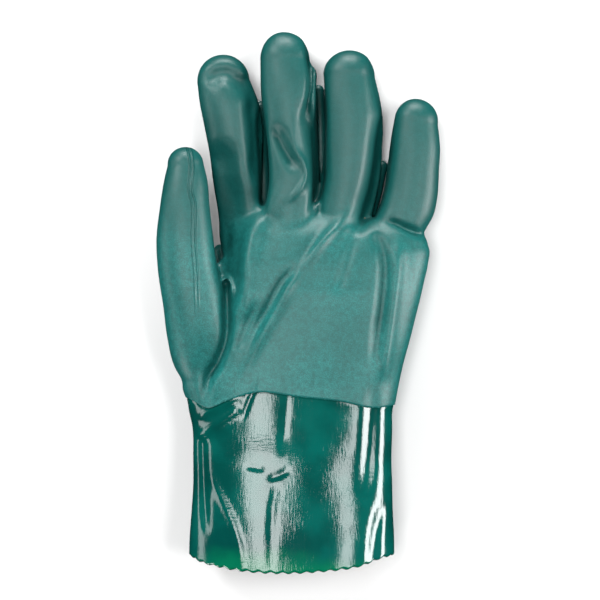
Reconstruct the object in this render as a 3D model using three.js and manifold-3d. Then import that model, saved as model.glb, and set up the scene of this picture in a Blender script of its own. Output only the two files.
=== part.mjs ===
// A dipped work glove for the left hand: cotton jersey coated with PVC, lying on its back with the palm up.
// The matt coated skin of the hand is a palm with its back and five hollow digits. Its hem laps over the top of a
// glossy gauntlet cuff.
// Millimetres, +Z up. The origin is on the surface that the glove lies on, under the middle of the palm.
// +Y runs from the cuff to the fingertips, and the thumb is at -X.
import * as THREE from "three";
import { mergeVertices } from "three/addons/utils/BufferGeometryUtils.js";
import Module from "manifold-3d";

const wasm = await Module();
wasm.setup();

// Driving dimensions of the hand and the cuff.
const PALM_LENGTH = 94; // from the hem of the hand to the web between the index and middle fingers
const PALM_WIDTH = 104;
const PALM_THICKNESS = 38;
const CUFF_LENGTH = 80; // from the hem of the hand to the mouth
const CUFF_WIDTH = 101.5;
const CUFF_THICKNESS = 47;

// Walls, and the lap joint of the hand over the cuff.
const HAND_WALL = 2;
const CUFF_STEP = 0.5; // the cuff lies this much inside the hand's outer face
const LAP_LENGTH = 6;
const LAP_LIP = 0.8;
const CLEARANCE = 0.3;

// The wavy cut of the mouth, as pinking shears leave it.
const PINK_PITCH = 6;
const PINK_DEPTH = 0.9;

// How finely the sections are divided.
const TRUNK_SIDES = 56;
const DIGIT_SIDES = 18;
const TRUNK_SQUARENESS = 2.3; // exponent of the superellipse; 2 is an ellipse
const DIGIT_SQUARENESS = 2.15;
const TIP_STEPS = [0.45, 0.75, 0.93];

// The origin's place along the palm, as a share of the palm's length above the hem.
const ORIGIN_SHARE = 0.53;
const HEM_Y = -ORIGIN_SHARE * PALM_LENGTH;
const MOUTH_Y = HEM_Y - CUFF_LENGTH;

// Sections of the palm. up: share of the palm's length above the hem. aside, width: shares of the palm's width.
// low, thick: height of the lowest point and thickness, as shares of the palm's thickness. A low point under the
// surface is pressed flat.
const PALM_SECTIONS = [
  { up: 1.0, aside: -0.05, width: 0.38, low: 0.1, thick: 0.36 },
  { up: 0.96, aside: 0.02, width: 0.72, low: 0.03, thick: 0.56 },
  { up: 0.9, aside: 0.083, width: 0.925, low: -0.02, thick: 0.74 },
  { up: 0.81, aside: 0.11, width: 1.0, low: -0.05, thick: 0.88 },
  { up: 0.72, aside: 0.091, width: 1.03, low: -0.053, thick: 0.94 },
  { up: 0.64, aside: 0.084, width: 1.013, low: -0.053, thick: 0.97 },
  { up: 0.56, aside: 0.076, width: 0.996, low: -0.053, thick: 1.0 },
  { up: 0.44, aside: 0.067, width: 0.958, low: -0.053, thick: 1.0 },
  { up: 0.32, aside: 0.036, width: 0.967, low: -0.053, thick: 1.0 },
  { up: 0.18, aside: -0.002, width: 0.979, low: -0.053, thick: 0.99 },
];

// Sections of the cuff, from its tongue under the hand's lip to past the mouth. down: share of the cuff's length below
// the hem. aside, width: shares of the cuff's width. low, thick: shares of the cuff's thickness.
const CUFF_SECTIONS = [
  { down: -0.0705, aside: -0.0451, width: 1.04, low: -0.0429, thick: 0.7923 },
  { down: 0.0, aside: -0.043, width: 1.0123, low: -0.0429, thick: 0.7923 },
  { down: 0.06, aside: -0.045, width: 0.995, low: -0.043, thick: 0.79 },
  { down: 0.19, aside: -0.038, width: 0.975, low: -0.043, thick: 0.81 },
  { down: 0.35, aside: -0.038, width: 0.97, low: -0.043, thick: 0.86 },
  { down: 0.53, aside: -0.035, width: 0.975, low: -0.043, thick: 0.91 },
  { down: 0.7, aside: -0.038, width: 0.985, low: -0.043, thick: 0.95 },
  { down: 0.86, aside: -0.041, width: 0.997, low: -0.043, thick: 0.985 },
  { down: 1.08, aside: -0.043, width: 1.0, low: -0.043, thick: 1.0 },
];

// The digits. rootAside, tipAside, width: shares of the palm's width. rootUp, length: shares of the palm's length, the
// root's above the hem. thickness: share of the palm's. Each row of sections has at: share of the digit's length,
// aside: centre line's offset as a share of the digit's width, wide and thick: shares of its width and thickness,
// rise: height of the centre line as a share of its thickness.
const DIGITS = [
  {
    name: "thumb",
    rootAside: -0.48,
    rootUp: -0.03,
    tipAside: -0.548,
    length: 1.372,
    width: 0.304,
    thickness: 0.737,
    sections: [
      { at: 0.0, aside: 0.03, wide: 0.26, thick: 0.3, rise: 0.5 },
      { at: 0.055, aside: 0.05, wide: 0.38, thick: 0.48, rise: 0.55 },
      { at: 0.14, aside: -0.02, wide: 0.64, thick: 0.76, rise: 0.62 },
      { at: 0.27, aside: 0.015, wide: 0.95, thick: 0.95, rise: 0.72 },
      { at: 0.405, aside: 0.005, wide: 1.0, thick: 1.0, rise: 0.79 },
      { at: 0.54, aside: -0.065, wide: 0.94, thick: 0.97, rise: 0.82 },
      { at: 0.66, aside: -0.09, wide: 0.885, thick: 0.92, rise: 0.83 },
      { at: 0.775, aside: -0.065, wide: 0.785, thick: 0.85, rise: 0.82 },
      { at: 0.872, aside: -0.025, wide: 0.69, thick: 0.76, rise: 0.79 },
      { at: 0.932, aside: -0.01, wide: 0.57, thick: 0.66, rise: 0.77 },
    ],
  },
  {
    name: "index",
    rootAside: -0.278,
    rootUp: 0.69,
    tipAside: -0.375,
    length: 1.154,
    width: 0.285,
    thickness: 0.658,
    sections: [
      { at: 0.0, aside: 0.0, wide: 0.6, thick: 0.3, rise: 0.4 },
      { at: 0.14, aside: 0.0, wide: 0.78, thick: 0.64, rise: 0.39 },
      { at: 0.28, aside: 0.025, wide: 0.79, thick: 0.84, rise: 0.43 },
      { at: 0.42, aside: 0.07, wide: 0.86, thick: 0.92, rise: 0.47 },
      { at: 0.56, aside: 0.085, wide: 0.92, thick: 0.98, rise: 0.5 },
      { at: 0.69, aside: 0.07, wide: 0.985, thick: 1.0, rise: 0.52 },
      { at: 0.79, aside: 0.035, wide: 0.985, thick: 0.98, rise: 0.52 },
      { at: 0.88, aside: -0.02, wide: 0.89, thick: 0.9, rise: 0.5 },
    ],
  },
  {
    name: "middle",
    rootAside: -0.058,
    rootUp: 0.8,
    tipAside: -0.067,
    length: 1.16,
    width: 0.2885,
    thickness: 0.684,
    sections: [
      { at: 0.0, aside: 0.0, wide: 0.9, thick: 0.96, rise: 0.52 },
      { at: 0.16, aside: 0.04, wide: 0.88, thick: 1.0, rise: 0.53 },
      { at: 0.28, aside: 0.08, wide: 0.885, thick: 1.0, rise: 0.54 },
      { at: 0.42, aside: 0.09, wide: 0.9, thick: 0.97, rise: 0.54 },
      { at: 0.56, aside: 0.08, wide: 0.935, thick: 0.98, rise: 0.54 },
      { at: 0.69, aside: 0.065, wide: 1.0, thick: 0.98, rise: 0.53 },
      { at: 0.78, aside: 0.05, wide: 0.985, thick: 0.95, rise: 0.52 },
      { at: 0.872, aside: -0.015, wide: 0.85, thick: 0.88, rise: 0.51 },
    ],
  },
  {
    name: "ring",
    rootAside: 0.183,
    rootUp: 0.8,
    tipAside: 0.236,
    length: 1.066,
    width: 0.298,
    thickness: 0.684,
    sections: [
      { at: 0.0, aside: 0.0, wide: 0.84, thick: 0.94, rise: 0.52 },
      { at: 0.17, aside: 0.1, wide: 0.88, thick: 1.0, rise: 0.53 },
      { at: 0.3, aside: 0.15, wide: 0.965, thick: 1.0, rise: 0.54 },
      { at: 0.45, aside: 0.17, wide: 1.0, thick: 1.0, rise: 0.54 },
      { at: 0.6, aside: 0.15, wide: 1.0, thick: 1.0, rise: 0.54 },
      { at: 0.75, aside: 0.095, wide: 0.965, thick: 0.97, rise: 0.53 },
      { at: 0.875, aside: 0.035, wide: 0.85, thick: 0.9, rise: 0.51 },
    ],
  },
  {
    name: "little",
    rootAside: 0.438,
    rootUp: 0.745,
    tipAside: 0.563,
    length: 0.872,
    width: 0.267,
    thickness: 0.632,
    sections: [
      { at: 0.0, aside: -0.02, wide: 0.7, thick: 0.55, rise: 0.6 },
      { at: 0.11, aside: 0.0, wide: 0.94, thick: 0.9, rise: 0.55 },
      { at: 0.2, aside: 0.045, wide: 0.95, thick: 1.0, rise: 0.53 },
      { at: 0.31, aside: 0.135, wide: 1.0, thick: 1.0, rise: 0.53 },
      { at: 0.43, aside: 0.16, wide: 0.99, thick: 1.0, rise: 0.53 },
      { at: 0.58, aside: 0.13, wide: 0.965, thick: 0.99, rise: 0.53 },
      { at: 0.74, aside: 0.095, wide: 0.905, thick: 0.95, rise: 0.52 },
      { at: 0.865, aside: 0.05, wide: 0.79, thick: 0.86, rise: 0.52 },
    ],
  },
];

// Folds of the palm side, from root to end. aside: shares of the palm's width. up: shares of the palm's length above
// the hem. half: half-width as a share of the palm's width. lift: height as a share of the palm's thickness, negative
// for a valley.
const FOLDS = [
  {
    what: "hollow beside the index finger",
    half: 0.095,
    lift: -0.22,
    path: [
      { aside: -0.34, up: 0.98 },
      { aside: -0.335, up: 0.75 },
      { aside: -0.32, up: 0.55 },
    ],
  },
  {
    what: "crease between the thumb and the palm",
    half: 0.035,
    lift: -0.16,
    path: [
      { aside: -0.345, up: 0.6 },
      { aside: -0.345, up: 0.36 },
      { aside: -0.39, up: 0.2 },
      { aside: -0.44, up: 0.04 },
    ],
  },
  {
    what: "ridge from the middle finger to the thumb",
    half: 0.042,
    lift: 0.08,
    path: [
      { aside: -0.09, up: 1.08 },
      { aside: -0.18, up: 0.93 },
      { aside: -0.24, up: 0.77 },
      { aside: -0.27, up: 0.58 },
    ],
  },
  {
    what: "valley across the palm",
    half: 0.04,
    lift: -0.075,
    path: [
      { aside: 0.06, up: 0.92 },
      { aside: 0.0, up: 0.75 },
      { aside: -0.1, up: 0.58 },
      { aside: -0.19, up: 0.37 },
      { aside: -0.3, up: 0.14 },
    ],
  },
  {
    what: "ridge beside that valley",
    half: 0.034,
    lift: 0.08,
    path: [
      { aside: 0.19, up: 0.95 },
      { aside: 0.12, up: 0.83 },
      { aside: 0.02, up: 0.69 },
      { aside: -0.08, up: 0.53 },
      { aside: -0.17, up: 0.37 },
      { aside: -0.28, up: 0.17 },
    ],
  },
  {
    what: "valley from the root of the little finger to the wrist",
    half: 0.04,
    lift: -0.07,
    path: [
      { aside: 0.6, up: 0.88 },
      { aside: 0.46, up: 0.9 },
      { aside: 0.4, up: 0.8 },
      { aside: 0.37, up: 0.6 },
      { aside: 0.35, up: 0.3 },
      { aside: 0.33, up: 0.12 },
    ],
  },
];

// Upright waves of the cuff's palm side. aside: share of the cuff's width. from, to: shares of the cuff's length below
// the hem. half: half-width as a share of the cuff's width. lift: share of the cuff's thickness.
const CUFF_WAVES = [
  { aside: -0.45, from: 0.25, to: 0.85, half: 0.04, lift: -0.07 },
  { aside: -0.36, from: 0.5, to: 1.1, half: 0.045, lift: 0.04 },
  { aside: -0.15, from: 0.55, to: 1.1, half: 0.03, lift: -0.035 },
  { aside: 0.1, from: 0.1, to: 0.9, half: 0.11, lift: -0.05 },
  { aside: 0.33, from: 0.0, to: 0.6, half: 0.035, lift: -0.04 },
  { aside: 0.37, from: 0.7, to: 1.1, half: 0.035, lift: -0.04 },
];

// The hem of the hand's coat, seen from above. aside: share of the cuff's width. up: share of the palm's length.
const HEM_LINE = [
  { aside: -0.7, up: 0.01 },
  { aside: -0.545, up: 0.008 },
  { aside: -0.45, up: -0.038 },
  { aside: -0.36, up: 0.0 },
  { aside: -0.22, up: 0.045 },
  { aside: 0.0, up: 0.022 },
  { aside: 0.2, up: -0.002 },
  { aside: 0.37, up: -0.038 },
  { aside: 0.48, up: -0.025 },
  { aside: 0.7, up: -0.025 },
];

// The cut of the mouth, which bows down over the palm side because that layer stands higher than the sides do.
const MOUTH_LINE = [
  { aside: -0.75, down: 0.94 },
  { aside: -0.545, down: 0.95 },
  { aside: -0.49, down: 0.98 },
  { aside: -0.38, down: 1.01 },
  { aside: -0.1, down: 1.04 },
  { aside: 0.1, down: 1.03 },
  { aside: 0.3, down: 1.0 },
  { aside: 0.4, down: 0.96 },
  { aside: 0.46, down: 0.95 },
  { aside: 0.75, down: 0.94 },
];

// Where the digits part from the palm, in the plan. aside: share of the palm's width. up: share of the palm's length
// above the hem. The line of the four fingers runs along their webs and steps down to the little finger's.
const FINGER_LINE = [
  { aside: -0.7, up: 1.018 },
  { aside: 0.355, up: 1.018 },
  { aside: 0.368, up: 0.91 },
  { aside: 0.7, up: 0.885 },
];
// The thumb's side of its line: down the gap beside the index finger, then along the crease of the palm to the wrist.
const THUMB_LINE = [
  { aside: -0.9, up: 1.45 },
  { aside: -0.475, up: 1.4 },
  { aside: -0.445, up: 1.29 },
  { aside: -0.427, up: 1.17 },
  { aside: -0.416, up: 1.035 },
  { aside: -0.412, up: 0.88 },
  { aside: -0.395, up: 0.76 },
  { aside: -0.36, up: 0.62 },
  { aside: -0.355, up: 0.42 },
  { aside: -0.39, up: 0.25 },
  { aside: -0.46, up: 0.14 },
  { aside: -0.9, up: 0.12 },
];

// Turns rows of { aside, up } into a smooth run of points in the plan.
function planPath(rows, width, length, count) {
  const points = rows.map((row) => new THREE.Vector2(row.aside * width, HEM_Y + row.up * length));
  return new THREE.SplineCurve(points).getPoints(count);
}

const FOLD_STEPS = 24;
const folds = FOLDS.map((fold) => ({
  path: planPath(fold.path, PALM_WIDTH, PALM_LENGTH, FOLD_STEPS),
  half: fold.half * PALM_WIDTH,
  lift: fold.lift * PALM_THICKNESS,
}));
const waves = CUFF_WAVES.map((wave) => ({
  path: [wave.from, wave.to].map((down) => new THREE.Vector2(wave.aside * CUFF_WIDTH, HEM_Y - down * CUFF_LENGTH)),
  half: wave.half * CUFF_WIDTH,
  lift: wave.lift * CUFF_THICKNESS,
}));

// How far a fold lifts the palm side at a point of the plan: a bell across it, fading over its last third.
function liftOf(fold, x, y) {
  let nearest = Infinity;
  let along = 0;
  const last = fold.path.length - 1;
  for (let i = 0; i < last; i += 1) {
    const a = fold.path[i];
    const run = fold.path[i + 1].clone().sub(a);
    const t = THREE.MathUtils.clamp(((x - a.x) * run.x + (y - a.y) * run.y) / run.lengthSq(), 0, 1);
    const distance = Math.hypot(x - a.x - t * run.x, y - a.y - t * run.y);
    if (distance < nearest) {
      nearest = distance;
      along = (i + t) / last;
    }
  }
  const fade = THREE.MathUtils.smoothstep(Math.min(along, 1 - along), -0.02, 0.3);
  return fold.lift * fade * Math.exp(-((nearest / fold.half) ** 2));
}

function palmLift(x, y) {
  return [...folds, ...waves].reduce((sum, fold) => sum + liftOf(fold, x, y), 0);
}

// One closed section: points of a superellipse, evenly spaced round it, from +across over the top.
const FINE_STEPS = 720;
function sectionOutline(halfWidth, halfThickness, squareness, sides) {
  const fine = [];
  for (let i = 0; i <= FINE_STEPS; i += 1) {
    const angle = (2 * Math.PI * i) / FINE_STEPS;
    const [c, s] = [Math.cos(angle), Math.sin(angle)];
    const power = 2 / squareness;
    fine.push(
      new THREE.Vector2(
        halfWidth * Math.sign(c) * Math.abs(c) ** power,
        halfThickness * Math.sign(s) * Math.abs(s) ** power,
      ),
    );
  }
  const lengths = [0];
  for (let i = 1; i < fine.length; i += 1) lengths.push(lengths[i - 1] + fine[i].distanceTo(fine[i - 1]));
  const outline = [];
  let i = 1;
  for (let k = 0; k < sides; k += 1) {
    const target = (lengths[FINE_STEPS] * k) / sides;
    while (lengths[i] < target) i += 1;
    const t = (target - lengths[i - 1]) / (lengths[i] - lengths[i - 1]);
    outline.push(fine[i - 1].clone().lerp(fine[i], t));
  }
  return outline;
}

// A closed solid through sections, each { centre, across, halfWidth, halfThickness }. inset shrinks it all round, so
// that the same sections give a wall's outer and inner face. The ends close on points a little way past the last
// sections. lift raises the palm side by the folds, and the underside is cut flat where it meets the surface.
function loft(sections, { sides, squareness, inset, startPoint, endPoint, lift }) {
  const positions = [];
  const rings = sections.map((section) =>
    sectionOutline(section.halfWidth - inset, section.halfThickness - inset, squareness, sides).map((p) => {
      const point = section.centre.clone().addScaledVector(section.across, p.x);
      const top = THREE.MathUtils.clamp((2 * p.y) / section.halfThickness, 0, 1);
      const lifted = section.centre.z + p.y + top * lift(point.x, point.y);
      return new THREE.Vector3(point.x, point.y, Math.max(lifted, inset));
    }),
  );
  const push = (...points) => points.forEach((p) => positions.push(p.x, p.y, p.z));
  for (let r = 0; r + 1 < rings.length; r += 1) {
    for (let k = 0; k < sides; k += 1) {
      const next = (k + 1) % sides;
      const [a, b, c, d] = [rings[r][k], rings[r][next], rings[r + 1][next], rings[r + 1][k]];
      push(a, b, c);
      push(a, c, d);
    }
  }
  for (let k = 0; k < sides; k += 1) {
    const next = (k + 1) % sides;
    push(startPoint, rings[0][next], rings[0][k]);
    push(endPoint, rings[rings.length - 1][k], rings[rings.length - 1][next]);
  }
  const geometry = new THREE.BufferGeometry();
  geometry.setAttribute("position", new THREE.Float32BufferAttribute(positions, 3));
  return geometry;
}

function toSolid(geometry) {
  const bare = geometry.index ? geometry.toNonIndexed() : geometry;
  bare.deleteAttribute("normal");
  bare.deleteAttribute("uv");
  const merged = mergeVertices(bare, 1e-4);
  const mesh = new wasm.Mesh({
    numProp: 3,
    vertProperties: merged.attributes.position.array,
    triVerts: new Uint32Array(merged.index.array),
  });
  return new wasm.Manifold(mesh);
}

// Cuts leave slivers and crumbs that are finer than any edge of the glove, so edges under SLIVER are closed up and only
// the largest body is kept.
const SLIVER = 0.02;
const largest = (solid) => solid.decompose().reduce((a, b) => (b.volume() > a.volume() ? b : a));
function toGeometry(solid) {
  const mesh = largest(solid.asOriginal().simplify(SLIVER)).getMesh();
  const geometry = new THREE.BufferGeometry();
  geometry.setAttribute("position", new THREE.Float32BufferAttribute(mesh.vertProperties, mesh.numProp));
  geometry.setIndex(new THREE.BufferAttribute(mesh.triVerts, 1));
  geometry.computeVertexNormals();
  return geometry;
}

// The trunk: palm and cuff in one run of sections, from the webs of the fingers to past the mouth.
const ACROSS = new THREE.Vector3(1, 0, 0);
function trunkSections() {
  const section = (row, y, width, thickness) => ({
    centre: new THREE.Vector3(row.aside * width, y, (row.low + row.thick / 2) * thickness),
    across: ACROSS,
    halfWidth: (row.width * width) / 2,
    halfThickness: (row.thick * thickness) / 2,
  });
  return [
    ...PALM_SECTIONS.map((row) => section(row, HEM_Y + row.up * PALM_LENGTH, PALM_WIDTH, PALM_THICKNESS)),
    ...CUFF_SECTIONS.map((row) => section(row, HEM_Y - row.down * CUFF_LENGTH, CUFF_WIDTH, CUFF_THICKNESS)),
  ];
}

const WEB_ROUNDING = 1.5; // the trunk's rounded end reaches this far past its first section
const PAST_MOUTH = 10;
const trunk = trunkSections();
function trunkSolid(inset) {
  const [first, last] = [trunk[0], trunk[trunk.length - 1]];
  const startPoint = first.centre.clone().add(new THREE.Vector3(0, WEB_ROUNDING - inset, 0));
  const endPoint = last.centre.clone().sub(new THREE.Vector3(0, PAST_MOUTH, 0));
  return toSolid(
    loft(trunk, {
      sides: TRUNK_SIDES,
      squareness: TRUNK_SQUARENESS,
      inset,
      startPoint,
      endPoint,
      lift: palmLift,
    }),
  );
}

// A digit runs from its root inside the palm to a rounded tip.
function digitSolid(digit, inset) {
  const length = digit.length * PALM_LENGTH;
  const width = digit.width * PALM_WIDTH;
  const thickness = digit.thickness * PALM_THICKNESS;
  const root = new THREE.Vector3(digit.rootAside * PALM_WIDTH, HEM_Y + digit.rootUp * PALM_LENGTH, 0);
  const sideways = digit.tipAside * PALM_WIDTH - root.x;
  const axis = new THREE.Vector3(sideways, Math.sqrt(length ** 2 - sideways ** 2), 0).normalize();
  const across = new THREE.Vector3(axis.y, -axis.x, 0);
  const place = (at, row) =>
    root
      .clone()
      .addScaledVector(axis, at * length)
      .addScaledVector(across, row.aside * width)
      .setZ(row.rise * thickness);
  const sections = digit.sections.map((row) => ({
    centre: place(row.at, row),
    across,
    halfWidth: (row.wide * width) / 2,
    halfThickness: (row.thick * thickness) / 2,
  }));
  const last = digit.sections[digit.sections.length - 1];
  const tipReach = (1 - last.at) * length - inset;
  for (const step of TIP_STEPS) {
    const shrink = Math.sqrt(1 - step ** 2);
    sections.push({
      centre: place(last.at + (step * tipReach) / length, last),
      across,
      halfWidth: inset + shrink * ((last.wide * width) / 2 - inset),
      halfThickness: inset + shrink * ((last.thick * thickness) / 2 - inset),
    });
  }
  const startPoint = sections[0].centre.clone().addScaledVector(axis, -1);
  const endPoint = place(last.at + tipReach / length, last);
  // The loft's faces point out when its sections run towards -Y, so a digit is lofted from its tip.
  return toSolid(
    loft(sections.reverse(), {
      sides: DIGIT_SIDES,
      squareness: DIGIT_SQUARENESS,
      inset,
      startPoint: endPoint,
      endPoint: startPoint,
      lift: () => 0,
    }),
  );
}

// Prisms through the whole height, over a region of the plan.
function prism(points) {
  const geometry = new THREE.ExtrudeGeometry(new THREE.Shape(points), {
    depth: 3 * CUFF_THICKNESS,
    bevelEnabled: false,
  });
  geometry.translate(0, 0, -CUFF_THICKNESS);
  return toSolid(geometry);
}

// The part of the plan on one side of a line that runs from -X to +X: down to the level end, or up to it.
function regionTo(end, line) {
  const [first, last] = [line[0], line[line.length - 1]];
  return prism([new THREE.Vector2(first.x, end), new THREE.Vector2(last.x, end), ...[...line].reverse()]);
}

const BEYOND = 60;
const regionBelow = (line) => regionTo(MOUTH_Y - BEYOND, line);
const regionAbove = (line) => regionTo(3 * PALM_LENGTH, line);

const HEM_STEPS = 36;
const hemLine = planPath(HEM_LINE, CUFF_WIDTH, PALM_LENGTH, HEM_STEPS);
const shifted = (line, dy, dx = 0) => line.map((p) => new THREE.Vector2(p.x + dx, p.y + dy));
const corners = (rows) => rows.map((row) => new THREE.Vector2(row.aside * PALM_WIDTH, HEM_Y + row.up * PALM_LENGTH));

// The mouth's wavy edge, a half wave for each step.
function mouthLine() {
  const rows = MOUTH_LINE.map((row) => new THREE.Vector2(row.aside * CUFF_WIDTH, HEM_Y - row.down * CUFF_LENGTH));
  const curve = new THREE.SplineCurve(rows);
  const steps = Math.round((2 * curve.getLength()) / PINK_PITCH);
  return curve.getSpacedPoints(steps).map((p, i) => p.setY(p.y + ((i % 2 ? 1 : -1) * PINK_DEPTH) / 2));
}

// The whole skin of the hand, with its thin lip over the cuff.
function handSkin() {
  const outer = DIGITS.reduce((sum, digit) => sum.add(digitSolid(digit, 0)), trunkSolid(0));
  const inner = DIGITS.reduce((sum, digit) => sum.add(digitSolid(digit, HAND_WALL)), trunkSolid(HAND_WALL));
  const belowLap = regionBelow(shifted(hemLine, LAP_LENGTH));
  const wall = outer.subtract(inner).subtract(belowLap);
  const lip = trunkSolid(0).subtract(trunkSolid(LAP_LIP)).intersect(belowLap).subtract(regionBelow(hemLine));
  return wall.add(lip);
}

// The hand's skin in the parts that bend apart: the palm with the back, and a hollow stall for each digit. A slit of
// the clearance parts them.
function handParts() {
  const skin = handSkin();
  const [thumbLine, fingerLine] = [corners(THUMB_LINE), corners(FINGER_LINE)];
  const thumbSide = prism(shifted(thumbLine, -CLEARANCE, CLEARANCE));
  const fingerSide = regionAbove(shifted(fingerLine, -CLEARANCE, -CLEARANCE));
  const fingers = skin.intersect(regionAbove(fingerLine)).subtract(thumbSide).decompose();
  const middleOf = (solid) => solid.boundingBox().min[0] + solid.boundingBox().max[0];
  fingers.sort((a, b) => middleOf(a) - middleOf(b));
  return {
    palm: skin.subtract(thumbSide).subtract(fingerSide),
    thumb: skin.intersect(prism(thumbLine)),
    index_finger: fingers[0],
    middle_finger: fingers[1],
    ring_finger: fingers[2],
    little_finger: fingers[3],
  };
}

function cuffSolid() {
  const inner = trunkSolid(HAND_WALL);
  const belowStep = regionBelow(shifted(hemLine, -CLEARANCE));
  const belowTongue = regionBelow(shifted(hemLine, LAP_LENGTH - CLEARANCE));
  const wall = trunkSolid(CUFF_STEP).intersect(belowStep);
  const tongue = trunkSolid(LAP_LIP + CLEARANCE).intersect(belowTongue);
  return wall.add(tongue).subtract(inner).subtract(regionBelow(mouthLine()));
}

const MATT_PVC = new THREE.MeshStandardMaterial({ color: 0x2c7a72, roughness: 0.62, metalness: 0 });
const GLOSSY_PVC = new THREE.MeshStandardMaterial({ color: 0x00594f, roughness: 0.16, metalness: 0 });

function piece(name, solid, material) {
  const mesh = new THREE.Mesh(toGeometry(solid), material);
  mesh.name = name;
  return mesh;
}

const glove = new THREE.Group();
for (const [name, solid] of Object.entries(handParts())) {
  glove.add(piece(name, solid, MATT_PVC));
}
glove.add(piece("cuff", cuffSolid(), GLOSSY_PVC));

export default glove;
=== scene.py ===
import bpy
import numpy as np
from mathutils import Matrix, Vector


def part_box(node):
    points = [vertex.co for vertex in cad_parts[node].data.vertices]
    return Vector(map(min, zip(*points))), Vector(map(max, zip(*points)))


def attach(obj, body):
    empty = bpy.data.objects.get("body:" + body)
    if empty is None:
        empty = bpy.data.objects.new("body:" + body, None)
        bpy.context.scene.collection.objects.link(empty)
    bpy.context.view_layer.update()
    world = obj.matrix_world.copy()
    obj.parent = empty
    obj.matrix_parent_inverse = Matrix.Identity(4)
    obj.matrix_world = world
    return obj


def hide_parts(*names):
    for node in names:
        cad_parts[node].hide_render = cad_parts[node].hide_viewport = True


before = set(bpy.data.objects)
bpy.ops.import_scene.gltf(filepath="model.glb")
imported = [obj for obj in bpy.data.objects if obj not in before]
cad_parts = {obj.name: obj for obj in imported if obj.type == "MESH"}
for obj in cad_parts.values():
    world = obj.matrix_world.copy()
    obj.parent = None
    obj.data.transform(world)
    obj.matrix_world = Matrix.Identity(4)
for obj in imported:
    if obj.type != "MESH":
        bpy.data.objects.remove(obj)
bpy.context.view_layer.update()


# The hand: cotton jersey dipped in matt PVC, one hollow skin with five digits, palm up. It is worked out as
# the distance to a rounded tube for each digit, joined softly to the flattened tube of palm and cuff, less
# its folds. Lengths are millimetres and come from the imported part's own sizes.
HAND_NODES = ("palm", "thumb", "index_finger", "middle_finger", "ring_finger", "little_finger")


def size_of(*nodes):
    """Size in millimetres of the box round some of the part's nodes."""
    boxes = np.array([[list(low), list(high)] for low, high in map(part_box, nodes)])
    return (boxes[:, 1].max(0) - boxes[:, 0].min(0)) * 1000


hand_size = size_of(*HAND_NODES)
cuff_size = size_of("cuff")
PALM_WIDTH = 0.7346 * hand_size[0]
PALM_LENGTH = 0.5005 * hand_size[1]
PALM_THICKNESS = 1.0034 * hand_size[2]
CUFF_WIDTH = 0.987 * cuff_size[0]
CUFF_LENGTH = 0.8543 * cuff_size[1]
CUFF_THICKNESS = 1.0716 * cuff_size[2]
HEM_Y = -0.53 * PALM_LENGTH


def smooth(rows, at):
    """Smooth curves through rows of numbers. A row's first number is its place, each other one a result."""
    rows = np.array(rows, float)
    rows = rows[np.argsort(rows[:, 0])]
    place = np.clip(at, rows[0, 0], rows[-1, 0])
    i = np.clip(np.searchsorted(rows[:, 0], place) - 1, 0, len(rows) - 2)
    run = rows[i + 1, 0] - rows[i, 0]
    t = (place - rows[i, 0]) / run
    results = []
    for column in range(1, rows.shape[1]):
        values = rows[:, column]
        slopes = np.gradient(values, rows[:, 0])
        ends = (2 * t**3 - 3 * t**2 + 1) * values[i] + (3 * t**2 - 2 * t**3) * values[i + 1]
        bends = (t**3 - 2 * t**2 + t) * run * slopes[i] + (t**3 - t**2) * run * slopes[i + 1]
        results.append(ends + bends)
    return results


def plan_path(rows, width, count=40):
    """A smooth run of points in the plan through rows of (aside, up)."""
    rows = np.array(rows, float) * (width, PALM_LENGTH) + (0, HEM_Y)
    numbered = np.column_stack([np.arange(len(rows)), rows])
    return np.column_stack(smooth(numbered, np.linspace(0, len(rows) - 1, count)))


def ramp(value, start, end):
    """0 at start, 1 at end, smooth in between."""
    t = np.clip((value - start) / (end - start), 0, 1)
    return t * t * (3 - 2 * t)


# aside, width: shares of the palm's or the cuff's width. low, thick: shares of its thickness.
# (up, aside, width, low, thick), up being the share of the palm's length above the hem
PALM_ROWS = [
    (1.0, -0.05, 0.4, 0.1, 0.38),
    (0.96, 0.02, 0.74, 0.03, 0.58),
    (0.9, 0.083, 0.93, -0.02, 0.75),
    (0.81, 0.11, 1.0, -0.05, 0.88),
    (0.72, 0.091, 1.03, -0.053, 0.94),
    (0.64, 0.084, 1.013, -0.053, 0.97),
    (0.56, 0.076, 0.996, -0.053, 1.0),
    (0.44, 0.067, 0.958, -0.053, 1.0),
    (0.32, 0.036, 0.967, -0.053, 1.0),
    (0.18, -0.002, 0.979, -0.053, 0.99),
    (0.06, -0.044, 1.015, -0.053, 0.98),
    (0.0, -0.042, 0.988, -0.053, 0.98),
]
# (down, aside, width, low, thick), down being the share of the cuff's length below the hem
CUFF_ROWS = [
    (0.06, -0.045, 0.995, -0.043, 0.79),
    (0.19, -0.038, 0.975, -0.043, 0.81),
    (0.35, -0.038, 0.97, -0.043, 0.86),
    (0.53, -0.035, 0.975, -0.043, 0.91),
    (0.7, -0.038, 0.985, -0.043, 0.95),
    (0.86, -0.041, 0.997, -0.043, 0.985),
    (1.08, -0.043, 1.0, -0.043, 1.0),
]
PALM_UNITS = np.array([PALM_LENGTH, PALM_WIDTH, PALM_WIDTH / 2, PALM_THICKNESS, PALM_THICKNESS / 2])
CUFF_UNITS = np.array([-CUFF_LENGTH, CUFF_WIDTH, CUFF_WIDTH / 2, CUFF_THICKNESS, CUFF_THICKNESS / 2])
trunk_rows = np.vstack([np.array(PALM_ROWS) * PALM_UNITS, np.array(CUFF_ROWS) * CUFF_UNITS])
trunk_rows[:, 0] += HEM_Y
WEB_Y = HEM_Y + PALM_LENGTH
TRUNK_POWER, DIGIT_POWER = 2.3, 2.15  # of the superellipse sections, 2 being an ellipse
WEB_ROUNDING, ROOT_ROUNDING = 4, 6  # how far a tube is rounded off past its end, in millimetres


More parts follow.
